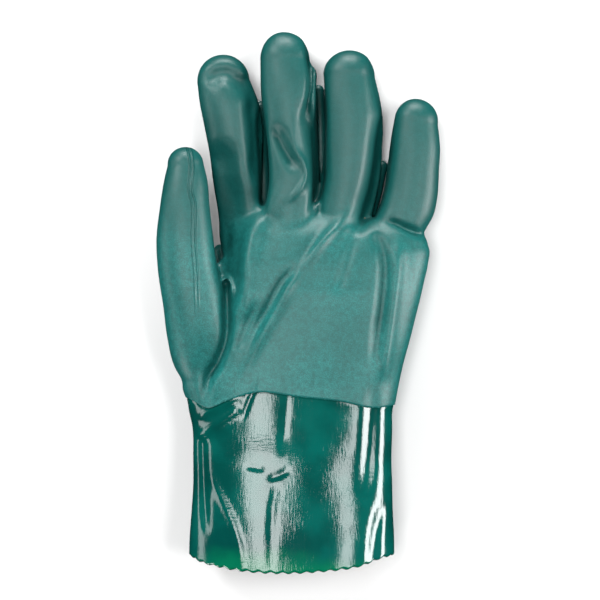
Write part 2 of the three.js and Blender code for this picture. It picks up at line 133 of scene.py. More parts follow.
def tube(u, v, beyond, half_u, half_v, power):
    """Distance, near the surface, from a tube of superellipse section, rounded off where beyond grows."""
    du, dv = np.abs(u) / half_u, np.abs(v) / half_v
    q = np.maximum((du**power + dv**power) ** (1 / power), 1e-6)
    whole = np.sqrt(q * q + beyond * beyond)
    slope_u = (du / q) ** (power - 1) / half_u
    slope_v = (dv / q) ** (power - 1) / half_v
    return (whole - 1) * whole / np.sqrt((slope_u**2 + slope_v**2) * q * q + (beyond / ROOT_ROUNDING) ** 2)


def trunk(x, y, z):
    """Distance from the flattened tube of palm and cuff."""
    aside, half, lowest, thick = smooth(trunk_rows, y)
    beyond = np.maximum(y - WEB_Y, 0) / WEB_ROUNDING
    return tube(x - aside, z - lowest - thick, beyond, half, thick, TRUNK_POWER)


# Each digit: root aside, root up and tip aside, then length, width and thickness, all shares of the palm's,
# then rows of (at, aside, wide, thick, rise). at is a share of the digit's own length, aside and wide are
# shares of its width, thick and rise of its thickness.
DIGITS = {
    "thumb": ((-0.48, -0.03, -0.548), (1.372, 0.304, 0.737), [
        (0.0, 0.03, 0.26, 0.3, 0.5),
        (0.055, 0.05, 0.38, 0.48, 0.55),
        (0.14, -0.02, 0.64, 0.76, 0.62),
        (0.27, 0.015, 0.95, 0.95, 0.72),
        (0.405, 0.005, 1.0, 1.0, 0.79),
        (0.54, -0.065, 0.94, 0.97, 0.82),
        (0.66, -0.09, 0.885, 0.92, 0.83),
        (0.775, -0.065, 0.785, 0.85, 0.82),
        (0.872, -0.025, 0.69, 0.76, 0.79),
        (0.932, -0.01, 0.57, 0.66, 0.77),
    ]),
    "index": ((-0.278, 0.69, -0.375), (1.154, 0.285, 0.658), [
        (0.0, 0.0, 0.6, 0.3, 0.4),
        (0.14, 0.0, 0.78, 0.64, 0.39),
        (0.28, 0.025, 0.79, 0.84, 0.43),
        (0.42, 0.07, 0.86, 0.92, 0.47),
        (0.56, 0.09, 0.94, 0.98, 0.5),
        (0.69, 0.08, 1.01, 1.0, 0.52),
        (0.79, 0.035, 0.985, 0.98, 0.52),
        (0.88, -0.02, 0.89, 0.9, 0.5),
    ]),
    "middle": ((-0.058, 0.8, -0.067), (1.16, 0.2885, 0.684), [
        (0.0, 0.0, 0.9, 0.96, 0.56),
        (0.16, 0.065, 0.95, 1.0, 0.58),
        (0.28, 0.115, 0.98, 1.0, 0.6),
        (0.42, 0.125, 1.0, 0.97, 0.61),
        (0.56, 0.1, 1.0, 0.98, 0.61),
        (0.69, 0.065, 1.01, 0.98, 0.6),
        (0.78, 0.05, 0.985, 0.95, 0.58),
        (0.872, -0.015, 0.85, 0.88, 0.55),
    ]),
    "ring": ((0.183, 0.8, 0.236), (1.066, 0.298, 0.684), [
        (0.0, 0.0, 0.86, 0.94, 0.52),
        (0.17, 0.085, 0.93, 1.0, 0.53),
        (0.3, 0.135, 1.015, 1.0, 0.54),
        (0.45, 0.155, 1.05, 1.0, 0.54),
        (0.6, 0.15, 1.02, 1.0, 0.54),
        (0.75, 0.095, 0.975, 0.97, 0.53),
        (0.875, 0.035, 0.85, 0.9, 0.51),
    ]),
    "little": ((0.438, 0.745, 0.563), (0.872, 0.267, 0.632), [
        (0.0, -0.02, 0.7, 0.55, 0.6),
        (0.11, 0.0, 0.94, 0.9, 0.55),
        (0.2, 0.03, 0.98, 1.0, 0.53),
        (0.31, 0.125, 1.02, 1.0, 0.53),
        (0.43, 0.16, 1.0, 1.0, 0.53),
        (0.58, 0.13, 0.965, 0.99, 0.53),
        (0.74, 0.095, 0.905, 0.95, 0.52),
        (0.865, 0.05, 0.79, 0.86, 0.52),
    ]),
}


def digit(name, x, y, z):
    """Distance from the tube of one digit, which leans from its root to its tip."""
    (root_aside, root_up, tip_aside), (length, width, thickness), rows = DIGITS[name]
    length, width, thickness = length * PALM_LENGTH, width * PALM_WIDTH, thickness * PALM_THICKNESS
    root = np.array([root_aside * PALM_WIDTH, HEM_Y + root_up * PALM_LENGTH])
    sideways = tip_aside * PALM_WIDTH - root[0]
    axis = np.array([sideways, np.sqrt(length**2 - sideways**2)]) / length
    along = (x - root[0]) * axis[0] + (y - root[1]) * axis[1]
    across = (x - root[0]) * axis[1] - (y - root[1]) * axis[0]
    aside, wide, thick, rise = smooth(rows, along / length)
    last = rows[-1][0] * length
    beyond = np.maximum(along - last, 0) / (length - last) + np.maximum(-along, 0) / ROOT_ROUNDING
    u, v = across - aside * width, z - rise * thickness
    return tube(u, v, beyond, wide * width / 2, thick * thickness / 2, DIGIT_POWER)


# Folds of the palm side: (height, half-width, rows of (aside, up)), millimetres and shares of the palm. A
# negative height is a valley. They are the pulls that a glove keeps from its former and its packing. They
# grow to their full height between the two levels of FOLDS_START, as the gaps and the hollow do in theirs.
FOLDS = [
    (3.2, 1.3, [(-0.376, 0.62), (-0.347, 0.645), (-0.324, 0.594), (-0.336, 0.5)]),
    (-5.5, 2.5, [
        (-0.335, 0.6), (-0.343, 0.5), (-0.347, 0.338), (-0.385, 0.21), (-0.435, 0.11), (-0.455, -0.05)
    ]),
    (3.4, 4.6, [
        (-0.065, 1.179), (-0.169, 1.013), (-0.227, 0.873), (-0.261, 0.72), (-0.272, 0.53), (-0.28, 0.4)
    ]),
    (-3.0, 3.0, [
        (0.13, 0.96), (0.014, 0.72), (-0.077, 0.62), (-0.146, 0.478), (-0.215, 0.351), (-0.272, 0.161)
    ]),
    (3.0, 2.7, [
        (0.31, 1.06), (0.19, 0.936), (0.084, 0.809), (-0.031, 0.644),
        (-0.123, 0.466), (-0.215, 0.275), (-0.284, 0.09)
    ]),
    (-1.5, 2.2, [(-0.19, 0.56), (-0.261, 0.364), (-0.3, 0.25)]),
    (-1.2, 2.8, [(0.268, 0.9), (0.234, 0.771), (0.199, 0.65), (0.17, 0.54)]),
    (-2.8, 3.0, [(0.35, 0.9), (0.37, 0.847), (0.4, 0.72), (0.392, 0.53), (0.365, 0.338), (0.33, 0.12)]),
    (2.2, 3.2, [(0.455, 0.87), (0.466, 0.72), (0.44, 0.466), (0.41, 0.211), (0.39, 0.08)]),
    (-2.6, 1.9, [(0.41, 0.95), (0.46, 0.93), (0.521, 0.9), (0.6, 0.865)]),
    (-3.6, 3.0, [(-0.13, 1.47), (-0.1, 1.4), (-0.072, 1.33), (-0.04, 1.265), (-0.01, 1.2)]),
    (2.2, 1.7, [
        (-0.034, 1.52), (-0.031, 1.35), (0.016, 1.253), (0.031, 1.2),
        (0.016, 1.142), (-0.026, 1.083), (-0.09, 1.03)
    ]),
    (-5.5, 4.2, [(0.03, 1.6), (0.045, 1.445), (0.078, 1.23), (0.07, 1.026)]),
    (-3.6, 1.6, [(0.024, 1.93), (0.043, 1.8), (0.05, 1.68), (0.034, 1.56), (0.01, 1.45)]),
    (-4.2, 6.0, [(-0.37, 1.4), (-0.355, 1.25), (-0.34, 1.1), (-0.33, 0.9)]),
    (-6.5, 5.0, [(0.375, 1.6), (0.385, 1.4), (0.37, 1.24), (0.34, 1.1), (0.3, 0.99), (0.25, 0.88)]),
    (-2.4, 5.5, [(0.37, 1.84), (0.385, 1.68), (0.385, 1.5)]),
    (-5.0, 4.2, [(-0.245, 1.68), (-0.23, 1.5), (-0.215, 1.3), (-0.205, 1.12)]),
    (-3.2, 4.0, [(-0.46, 1.66), (-0.41, 1.71), (-0.345, 1.72), (-0.28, 1.66), (-0.24, 1.58)]),
]
FOLDS_START = (9, 17)
# The deep gaps between the fingers: (height, half-width, rows), as above.
GAPS = [
    (-14.0, 1.7, [
        (-0.197, 1.56), (-0.19, 1.434), (-0.181, 1.339), (-0.175, 1.243), (-0.173, 1.147), (-0.18, 0.96)
    ]),
    (-14.0, 1.8, [(0.09, 1.75), (0.1, 1.6), (0.102, 1.408), (0.097, 1.243), (0.089, 1.147), (0.04, 0.96)]),
    (-13.0, 2.4, [
        (0.412, 1.42), (0.404, 1.301), (0.389, 1.211), (0.373, 1.115), (0.345, 1.02), (0.25, 0.86)
    ]),
]
GAPS_START = (8, 13)
GAPS_WIDER_INSIDE = 2.0  # so that the lining's face keeps clear of the gaps
# The hollow between the palm and the thumb, as above. It falls away in a slant.
HOLLOW = [(-12.5, 7.0, [(-0.36, 1.2), (-0.355, 0.88), (-0.35, 0.68), (-0.33, 0.45)])]
HOLLOW_START = (3, 25)
# Where neighbouring digits touch low down, (aside, up), and the last one where the thumb touches the palm.
TOUCHES = [
    [(-0.19, 1.57), (-0.181, 1.339), (-0.173, 1.147), (-0.18, 1.0)],
    [(0.09, 1.66), (0.102, 1.408), (0.097, 1.243), (0.06, 1.03)],
    [(0.398, 1.25), (0.389, 1.211), (0.373, 1.115), (0.345, 1.0)],
    [(-0.392, 0.8), (-0.385, 0.72), (-0.37, 0.62), (-0.34, 0.52)],
]
TOUCH_HEIGHT = 2.6
TOUCH_RADIUS = 2.9
# Waves of the cuff's palm side: (height, half-width, rows of (aside, down)), millimetres and shares of the
# cuff. They are here because the hand's skin carries them on above the hem.
WAVES = [
    (0.6, 8.0, [(0.34, -0.25), (0.33, 0.0), (0.31, 0.2), (0.27, 0.42)]),
    (-1.2, 3.6, [(0.36, -0.15), (0.35, 0.0), (0.34, 0.19), (0.325, 0.44), (0.3, 0.66)]),
    (-1.1, 3.0, [(0.41, 0.6), (0.374, 0.75), (0.355, 0.91), (0.345, 1.1)]),
    (-0.28, 1.9, [(-0.06, -0.1), (-0.067, 0.03), (-0.075, 0.15), (-0.082, 0.26), (-0.095, 0.36)]),
    (-0.35, 1.3, [(-0.27, 0.395), (-0.22, 0.405), (-0.16, 0.415)]),
    (-0.45, 1.6, [(-0.17, 0.48), (-0.1, 0.45), (-0.04, 0.41)]),
    (-0.4, 2.2, [(-0.1, 0.5), (-0.118, 0.56), (-0.133, 0.66), (-0.138, 0.82), (-0.138, 1.12)]),
    (-0.5, 1.2, [(-0.21, -0.16), (-0.227, -0.06), (-0.251, 0.015), (-0.285, 0.14)]),
    (0.7, 1.6, [(-0.5, 0.12), (-0.458, 0.078), (-0.335, -0.01), (-0.29, -0.06)]),
    (0.9, 2.5, [(-0.5, 0.24), (-0.468, 0.2), (-0.335, 0.078), (-0.29, 0.03)]),
    (-1.6, 2.2, [(-0.48, 0.2), (-0.473, 0.315), (-0.463, 0.63), (-0.45, 0.85)]),
    (0.8, 2.2, [(-0.43, 0.42), (-0.419, 0.5), (-0.345, 0.7), (-0.296, 0.88), (-0.28, 1.1)]),
]

# The plan in which the folds are drawn, from above, in millimetres.
MAP_STEP = 0.5
map_x = np.arange(-78, 78, MAP_STEP)
map_y = np.arange(-142, 142, MAP_STEP)
plan_x, plan_y = np.meshgrid(map_x, map_y, indexing="ij")


def nearest_on(path):
    """All over the plan, the distance to a path and the share of it at which its nearest point lies."""
    nearest = np.full(plan_x.shape, np.inf)
    along = np.zeros(plan_x.shape)
    for i, (start, end) in enumerate(zip(path[:-1], path[1:])):
        run = end - start
        t = np.clip(((plan_x - start[0]) * run[0] + (plan_y - start[1]) * run[1]) / (run @ run), 0, 1)
        distance = np.hypot(plan_x - start[0] - t * run[0], plan_y - start[1] - t * run[1])
        closer = distance < nearest
        nearest[closer] = distance[closer]
        along[closer] = ((i + t) / (len(path) - 1))[closer]
    return nearest, along


def lift_map(folds, width):
    """All over the plan, how much the folds lift the surface. They fade out towards both ends."""
    total = np.zeros(plan_x.shape)
    for lift, half, rows in folds:
        nearest, along = nearest_on(plan_path(rows, width))
        fade = ramp(np.minimum(along, 1 - along), -0.02, 0.3)
        total += lift * fade * np.exp(-((nearest / half) ** 2))
    return total


def read_map(values, x, y):
    """What a map of the plan says at some places, worked out between its nearest four values."""
    fx = np.clip((x - map_x[0]) / MAP_STEP, 0, len(map_x) - 1.001)
    fy = np.clip((y - map_y[0]) / MAP_STEP, 0, len(map_y) - 1.001)
    i, j = fx.astype(int), fy.astype(int)
    u, v = fx - i, fy - j
    near = values[i, j] * (1 - u) + values[i + 1, j] * u
    far = values[i, j + 1] * (1 - u) + values[i + 1, j + 1] * u
    return near * (1 - v) + far * v


cuff_waves = [
    (lift, half, [(aside, -down * CUFF_LENGTH / PALM_LENGTH) for aside, down in rows])
    for lift, half, rows in WAVES
]
fold_lift = lift_map(FOLDS, PALM_WIDTH) + lift_map(cuff_waves, CUFF_WIDTH)
gap_lift = lift_map(GAPS, PALM_WIDTH)
wide_gap_lift = lift_map([(lift, half + GAPS_WIDER_INSIDE, rows) for lift, half, rows in GAPS], PALM_WIDTH)
hollow_lift = lift_map(HOLLOW, PALM_WIDTH)
touch_distance = np.min([nearest_on(plan_path(rows, PALM_WIDTH))[0] for rows in TOUCHES], axis=0)


def soft_join(a, b, reach):
    """The nearer of two surfaces, with the corner between them filled over a reach."""
    h = np.clip(0.5 + 0.5 * (b - a) / reach, 0, 1)
    return b * (1 - h) + a * h - reach * h * (1 - h)


THUMB_REACH, FINGER_REACH = 7.0, 5.0  # how far the corner between a digit and the palm is filled
CREASE_REACH = 1.6  # the same between two digits, and along the edge of the flat underside
TOUCH_REACH = 2.4
PILLOW_HEIGHT = 0.22  # of the slow waves all over the coat


def glove_field(x, y, z, names=("index", "middle", "ring", "little", "thumb"), gaps=gap_lift):
    """Distance to the glove's outer face, negative inside. The hollow is made before the thumb joins."""
    body = trunk(x, y, z)
    field = body
    for name in names:
        if name == "thumb":
            hollow = read_map(hollow_lift, x, y) * ramp(z, *HOLLOW_START)
            body, field = body - hollow, field - hollow
        reach = THUMB_REACH if name == "thumb" else FINGER_REACH
        field = soft_join(field, soft_join(body, digit(name, x, y, z), reach), CREASE_REACH)
    field = field - read_map(fold_lift, x, y) * ramp(z, *FOLDS_START)
    field = field - read_map(gaps, x, y) * ramp(z, *GAPS_START)
    touch = np.hypot(read_map(touch_distance, x, y), z - TOUCH_HEIGHT) - TOUCH_RADIUS
    field = soft_join(field, touch, TOUCH_REACH)
    pillow = np.sin(x / 7.3 + 1.1) * np.sin(y / 9.1 + z / 8.0) * PILLOW_HEIGHT
    return -soft_join(-(field - pillow), z, CREASE_REACH)


# The hem of the coat in the plan, (share of the cuff's width aside, share of the palm's length up).
HEM_ROWS = [
    (-0.7, 0.01), (-0.545, 0.008), (-0.45, -0.038), (-0.36, 0.0), (-0.22, 0.045),
    (0.0, 0.022), (0.2, -0.002), (0.37, -0.038), (0.48, -0.025), (0.7, -0.025),
]
hem_rows = [(aside * CUFF_WIDTH, HEM_Y + up * PALM_LENGTH) for aside, up in HEM_ROWS]


def hem_at(x):
    """How far up the hem lies, the same on both sides of the glove."""
    return smooth(hem_rows, x)[0]


def settle(values):
    """Fills the grid squares whose inside corners meet only diagonally, so that skins never share an edge."""
    for _ in range(4):
        for u, v in ((0, 1), (0, 2), (1, 2)):
            view = np.moveaxis(values, (u, v), (0, 1))
            square = [view[:-1, :-1], view[1:, :-1], view[:-1, 1:], view[1:, 1:]]
            a, b, c, d = [part < 0 for part in square]
            crossed = (a == d) & (b == c) & (a != b)
            for part in square:
                part[crossed] = np.minimum(part[crossed], -0.01)


def skin(field, step, low_corner, high_corner):
    """The surface where field is 0, as corners and four-sided faces, from the hem line upwards. The grid
    leans with the hem, so the surface ends in one clean loop on it."""
    axes = [np.arange(low_corner[i], high_corner[i] + step, step) for i in range(3)]
    axes[1] = np.arange(-step / 2, high_corner[1] - low_corner[1] + step, step)
    gx, gy, gz = np.meshgrid(*axes, indexing="ij")
    gy = gy + hem_at(gx)
    inside = field(gx, gy, gz)
    settle(inside)
    sign = inside < 0
    count = np.zeros(tuple(n - 1 for n in sign.shape))
    centre = np.zeros(count.shape + (3,))
    corners = [(i, j, k) for i in (0, 1) for j in (0, 1) for k in (0, 1)]

    def cut(data, corner):
        return data[tuple(slice(c, n - 1 + c) for c, n in zip(corner, data.shape))]

    for a in corners:
        for axis in range(3):
            if a[axis]:
                continue
            b = tuple(1 if n == axis else a[n] for n in range(3))
            fa, fb = cut(inside, a), cut(inside, b)
            crossing = cut(sign, a) != cut(sign, b)
            t = np.where(crossing, fa / np.where(crossing, fa - fb, 1), 0)
            count += crossing
            for n in range(3):
                centre[..., n] += crossing * (a[n] + t if n == axis else a[n])
    active = count > 0
    number = np.full(count.shape, -1)
    number[active] = np.arange(active.sum())
    cell = np.argwhere(active)
    spot = (cell + centre[active] / count[active][:, None]) * step
    points = spot + (axes[0][0], axes[1][0], axes[2][0])
    on_hem = cell[:, 1] == 0
    points[on_hem, 1] = 0
    points[:, 1] += hem_at(points[:, 0])
    faces = []
    for axis in range(3):
        u, v = [n for n in range(3) if n != axis]
        first = [slice(1, n - 1) for n in sign.shape]
        second = list(first)
        first[axis] = slice(0, sign.shape[axis] - 1)
        second[axis] = slice(1, sign.shape[axis])
        fa, fb = sign[tuple(first)], sign[tuple(second)]
        where = np.argwhere(fa != fb)
        leaving = fa[tuple(where.T)]
        base = where + [0 if n == axis else 1 for n in range(3)]
        ring = []
        for du, dv in ((1, 1), (0, 1), (0, 0), (1, 0)):
            spot = base.copy()
            spot[:, u] -= du
            spot[:, v] -= dv
            ring.append(number[tuple(spot.T)])
        quad = np.column_stack(ring)
        flip = leaving if axis == 1 else ~leaving
        quad[flip] = quad[flip][:, ::-1]
        faces.append(quad)
    faces = np.concatenate(faces)
    nudge = 0.05
    for _ in range(4):
        x, y, z = points.T
        off = field(x, y, z)
        slope = np.column_stack([
            (field(x + nudge, y, z) - off) / nudge,
            (field(x, y + nudge, z) - off) / nudge,
            (field(x, y, z + nudge) - off) / nudge,
        ])
        slope[on_hem, 1] = 0
        move = slope * (off / np.maximum((slope**2).sum(1), 0.2))[:, None]
        size = np.linalg.norm(move, axis=1, keepdims=True)
        points = points - move * np.minimum(1, 0.6 * step / np.maximum(size, 1e-9))
        points[on_hem, 1] = hem_at(points[on_hem, 0])
    return points, faces


def open_loop(faces):
    """The corners round a surface's one open edge, in order."""
    edges = np.concatenate([np.column_stack([faces[:, i], faces[:, (i + 1) % 4]]) for i in range(4)])
    known = set(map(tuple, edges.tolist()))
    after = {a: b for a, b in known if (b, a) not in known}
    start = next(iter(after))
    loop = [start]
    while after[loop[-1]] != start:
        loop.append(after[loop[-1]])
    return loop


def bridge(points, loop_a, loop_b):
    """Triangles between two loops that run the same way round."""
    a, b = list(loop_a), list(loop_b)
    shift = int(np.argmin(np.linalg.norm(points[b] - points[a[0]], axis=1)))
    b = b[shift:] + b[:shift]
    made = []
    i = j = 0
    while i < len(a) or j < len(b):
        here_a, next_a = a[i % len(a)], a[(i + 1) % len(a)]
        here_b, next_b = b[j % len(b)], b[(j + 1) % len(b)]
        step_a = np.linalg.norm(points[next_a] - points[here_b]) if i < len(a) else np.inf
        step_b = np.linalg.norm(points[next_b] - points[here_a]) if j < len(b) else np.inf
        if step_a <= step_b:
            made.append((here_a, next_a, here_b))
            i += 1
        else:
            made.append((here_a, next_b, here_b))
            j += 1
    return made


def build_object(name, points, faces, inner_faces):
    """A mesh object from corners in millimetres. Its last faces, inner_faces of them, lie on the inside."""
    mesh = bpy.data.meshes.new(name)
    mesh.from_pydata((points / 1000).tolist(), [], faces)
    mesh.polygons.foreach_set("use_smooth", [True] * len(mesh.polygons))
    made = bpy.data.objects.new(name, mesh)
    bpy.context.scene.collection.objects.link(made)
    count = len(mesh.polygons)
    mesh.polygons.foreach_set("material_index", [0] * (count - inner_faces) + [1] * inner_faces)
    return made


OUTER_STEP, INNER_STEP = 1.0, 2.0
low_corner = (-75, HEM_Y, -2.5)
high_corner = (74, 138, 42)
outer_points, outer_faces = skin(glove_field, OUTER_STEP, low_corner, high_corner)

HEM_WALL = 0.3  # the coat alone, where it laps over the cuff
HAND_WALL = 1.4
WALL_GROWS = (5.5, 9)  # between these two heights over the hem


def inner_field(x, y, z):
    """Distance to the lining's face, a wall further in than the outer one."""
    wall = HEM_WALL + (HAND_WALL - HEM_WALL) * ramp(y - hem_at(x), *WALL_GROWS)
    return glove_field(x, y, z, gaps=wide_gap_lift) + wall


inner_points, inner_faces = skin(inner_field, INNER_STEP, low_corner, high_corner)
outer_loop = open_loop(outer_faces)
inner_loop = [n + len(outer_points) for n in open_loop(inner_faces)]
all_points = np.concatenate([outer_points, inner_points])
rim = bridge(all_points, outer_loop, inner_loop)
faces = outer_faces.tolist() + [tuple(reversed(f)) for f in rim]
faces += (inner_faces[:, ::-1] + len(outer_points)).tolist()
hand = build_object("hand_skin", all_points, faces, len(inner_faces))


class Val:
    """A socket of a material that takes part in arithmetic, so that shading reads as a formula."""

    def __init__(self, tree, socket):
        self.tree = tree
        self.socket = socket

    def node(self, kind, settings=None, out=0, **sockets):
        """Any other node: its type, then its settings, then its sockets by name."""
        made = self.tree.nodes.new("ShaderNode" + kind)
        for key, value in (settings or {}).items():
            setattr(made, key, value)
        for key, value in sockets.items():
            name = key.replace("_", " ")
            target = made.inputs[int(key[1:])] if key[0] == "i" and key[1:].isdigit() else made.inputs[name]
            if isinstance(value, Val):
                self.tree.links.new(value.socket, target)
            else:
                target.default_value = value
        return Val(self.tree, made.outputs[out])

    def maths(self, operation, other=None):
        given = {"i0": self}
        if other is not None:
            given["i1"] = other
        return self.node("Math", {"operation": operation}, **given)

    def __add__(self, other):
        return self.maths("ADD", other)

    __radd__ = __add__

    def __mul__(self, other):
        return self.maths("MULTIPLY", other)

    def __sub__(self, other):
        return self.maths("SUBTRACT", other)

    def along(self, points):
        """A smooth curve through (value, result) points, both from 0 to 1."""
        made = self.tree.nodes.new("ShaderNodeFloatCurve")
        line = made.mapping.curves[0].points
        for at, result in points[1:-1]:
            line.new(at, result)
        line[0].location = points[0]
        line[-1].location = points[-1]
        made.mapping.update()
        self.tree.links.new(self.socket, made.inputs["Value"])
        return Val(self.tree, made.outputs[0])

    def between(self, low, high):
        """0 at low, 1 at high, smooth in between."""
        settings = {"interpolation_type": "SMOOTHSTEP"}
        return self.node("MapRange", settings, Value=self, From_Min=low, From_Max=high)

    def mix(self, first, second):
        """The first colour where this value is 0, the second where it is 1."""
        return self.node("Mix", {"data_type": "RGBA"}, 2, i0=self, i6=first, i7=second)

    def millimetres(self):
        """The x, y and z of a place."""
        parts = self.node("SeparateXYZ", Vector=self).socket.node.outputs
        return [Val(self.tree, part) * 1000 for part in parts]


def new_material(name, tint):
    """A Principled material with its surface node and a value to start formulas from."""
    material = bpy.data.materials.new(name)
    material.use_nodes = True
    material.diffuse_color = (*tint, 1)
    tree = material.node_tree
    surface = tree.nodes["Principled BSDF"]
    place = Val(tree, tree.nodes.new("ShaderNodeTexCoord").outputs["Object"])
    return material, surface, place


def drive(surface, name, value):
    """Feeds a value or a formula to one of the surface's sockets."""
    if isinstance(value, Val):
        value.tree.links.new(value.socket, surface.inputs[name])
    else:
        surface.inputs[name].default_value = value


# Outside, the coat is a matt teal PVC with fine sand in it: speckled, a little rough, paler where the sand
# stands up, and darker towards the fingers as painted shade. Inside, the jersey shows, an ecru knit.
COAT_DEEP = (0.0004, 0.062, 0.056, 1)
COAT_MAIN = (0.001, 0.1, 0.092, 1)
COAT_PALE = (0.014, 0.2, 0.186, 1)
coat, surface, place = new_material("sandy_coat", COAT_MAIN[:3])
grains = place.node("TexNoise", Vector=place, Scale=1900.0, Detail=2.0, Roughness=0.75)
clumps = place.node("TexNoise", Vector=place, Scale=420.0, Detail=3.0, Roughness=0.6)
tone = place.node("TexNoise", Vector=place, Scale=38.0, Detail=2.0)
x, y, z = place.millimetres()
flecks = grains.between(0.35, 0.72).mix(COAT_MAIN, COAT_PALE)
mottled = (clumps.between(0.62, 0.3) * 0.5).mix(flecks, COAT_DEEP)
clouded = (tone.between(0.62, 0.35) * 0.35).mix(mottled, COAT_DEEP)
# Painted shade: from 10 to 60 mm up, the coat's colour is mixed three quarters of the way to COAT_DEEP, so
# the fingers look darker than the palm.
drive(surface, "Base Color", (y.between(10, 60) * 0.75).mix(clouded, COAT_DEEP))
drive(surface, "Roughness", 0.34 + grains * 0.2)
drive(surface, "Specular IOR Level", 0.5)
soft_bump = place.node("Bump", Strength=0.5, Distance=0.00012, Height=clumps)
grain_bump = place.node("Bump", Strength=0.8, Distance=0.0001, Height=grains, Normal=soft_bump)

# The thumb's seam shows through the coat as two raised lines from the tip to the ball of the thumb. Its path
# is (y, x), in millimetres.
SEAM = [
    (-30, -50.2), (-6, -50.5), (12, -51.0), (30, -52.3),
    (46.5, -52.3), (55, -54.0), (65.8, -53.5), (76, -57.0),
]
SEAM_LOW, SEAM_HIGH, SEAM_LEFT, SEAM_RIGHT = -30, 76, -60, -45
SEAM_LINES_APART = 1.7
SEAM_LINE_WIDTH = 0.5
share = (y - SEAM_LOW) * (1 / (SEAM_HIGH - SEAM_LOW))
points = [
    ((at - SEAM_LOW) / (SEAM_HIGH - SEAM_LOW), (aside - SEAM_LEFT) / (SEAM_RIGHT - SEAM_LEFT))
    for at, aside in SEAM
]
middle = share.along(points) * (SEAM_RIGHT - SEAM_LEFT) + SEAM_LEFT
off = ((x - middle).maths("ABSOLUTE") - SEAM_LINES_APART / 2) * (1 / SEAM_LINE_WIDTH)
line = (off * off * -1.0).maths("EXPONENT")
on_thumb = z.between(17, 21) * y.between(-12, 12) * x.between(-44, -47)
seam_bump = place.node("Bump", Strength=1.0, Distance=0.0007, Height=line * on_thumb, Normal=grain_bump)
drive(surface, "Normal", seam_bump)

JERSEY = (0.55, 0.49, 0.37, 1)
JERSEY_SHADE = (0.34, 0.29, 0.2, 1)
jersey, surface, place = new_material("jersey_lining", JERSEY[:3])
waviness = {"Vector": place, "Distortion": 1.5, "Detail": 2.0}
wales = place.node("TexWave", {"bands_direction": "X"}, Scale=430.0, **waviness)
courses = place.node("TexWave", {"bands_direction": "Y"}, Scale=520.0, **waviness)
stitches = wales * courses
drive(surface, "Base Color", stitches.mix(JERSEY_SHADE, JERSEY))
drive(surface, "Roughness", 0.9)
drive(surface, "Normal", place.node("Bump", Strength=0.7, Distance=0.0003, Height=stitches))

for finish in (coat, jersey):
    hand.data.materials.append(finish)
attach(hand, "root")
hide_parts(*HAND_NODES)


# The cuff: a gauntlet of the same jersey in a second, glossy dip of deeper green. Its top runs up under the
# coat of the hand. Its mouth is cut with pinking shears and bows down over the palm side.
MOUTH_ROWS = [
    (-0.75, 0.94), (-0.545, 0.95), (-0.49, 0.98), (-0.38, 1.01), (-0.1, 1.04),
    (0.1, 1.03), (0.3, 1.0), (0.4, 0.96), (0.46, 0.95), (0.75, 0.94),
]
PINK_PITCH = 5.9
PINK_DEPTH = 0.9
UNDER_COAT = 5.0  # how far the cuff reaches up under the coat
COAT_STEP = 0.12  # how far the cuff's face lies inside the hand's
COAT_ROOM = 0.33  # how much further in it lies under the coat
CUFF_WALL = 1.5
LIP = 0.35  # how far the rounded edges stand out at both ends
ROUND_CUFF = 420
ALONG_CUFF = 100
mouth_rows = [(aside * CUFF_WIDTH, HEM_Y - down * CUFF_LENGTH) for aside, down in MOUTH_ROWS]


def cuff_ring(down, depth, pink):
    """Corners round the cuff, a share of the way down from its top to its mouth, some way under its face."""
    level = HEM_Y + UNDER_COAT - down * (UNDER_COAT + CUFF_LENGTH)
    aside, half, lowest, thick = smooth(trunk_rows, np.array([level]))
    turn = np.linspace(0, 2 * np.pi, ROUND_CUFF, endpoint=False)
    dx, dz = half * np.cos(turn), thick * np.sin(turn)
    near, far = np.zeros(ROUND_CUFF), np.full(ROUND_CUFF, 1.5)
    for _ in range(20):
        middle = (near + far) / 2
        x, z = aside + middle * dx, lowest + thick + middle * dz
        y = (hem_at(x) + UNDER_COAT) * (1 - down) + (smooth(mouth_rows, x)[0] + pink) * down
        under = depth + COAT_STEP + COAT_ROOM * ramp(y - hem_at(x), -0.5, 0.1)
        outside = glove_field(x, y, z, ("thumb",)) + under > 0
        far[outside] = middle[outside]
        near[~outside] = middle[~outside]
    return np.column_stack([x, y, z])


plain_mouth = cuff_ring(1.0, 0.0, 0.0)
steps = np.linalg.norm(np.roll(plain_mouth, -1, axis=0) - plain_mouth, axis=1)
walked = np.concatenate([[0], np.cumsum(steps)[:-1]])
teeth = round(steps.sum() / PINK_PITCH)
pink = PINK_DEPTH / 2 * np.sin(2 * np.pi * teeth * walked / steps.sum())
stations = np.linspace(0, 1, ALONG_CUFF)
outer_rings = [cuff_ring(down, 0.0, pink) for down in stations]
inner_rings = [cuff_ring(down, CUFF_WALL, pink) for down in stations]
mouth_lip = (outer_rings[-1] + inner_rings[-1]) / 2 - (0, LIP, 0)
top_lip = (outer_rings[0] + inner_rings[0]) / 2 + (0, LIP, 0)
loops = [*outer_rings, mouth_lip, *inner_rings[::-1], top_lip]
points = np.concatenate(loops)
faces = []
inside_loops = range(ALONG_CUFF, 2 * ALONG_CUFF)
order = [n for n in range(len(loops)) if n not in inside_loops] + list(inside_loops)
for n in order:
    following = (n + 1) % len(loops)
    for k in range(ROUND_CUFF):
        beside = (k + 1) % ROUND_CUFF
        ring, next_ring = n * ROUND_CUFF, following * ROUND_CUFF
        faces.append((ring + k, next_ring + k, next_ring + beside, ring + beside))
cuff = build_object("gauntlet_cuff", points, faces, ALONG_CUFF * ROUND_CUFF)

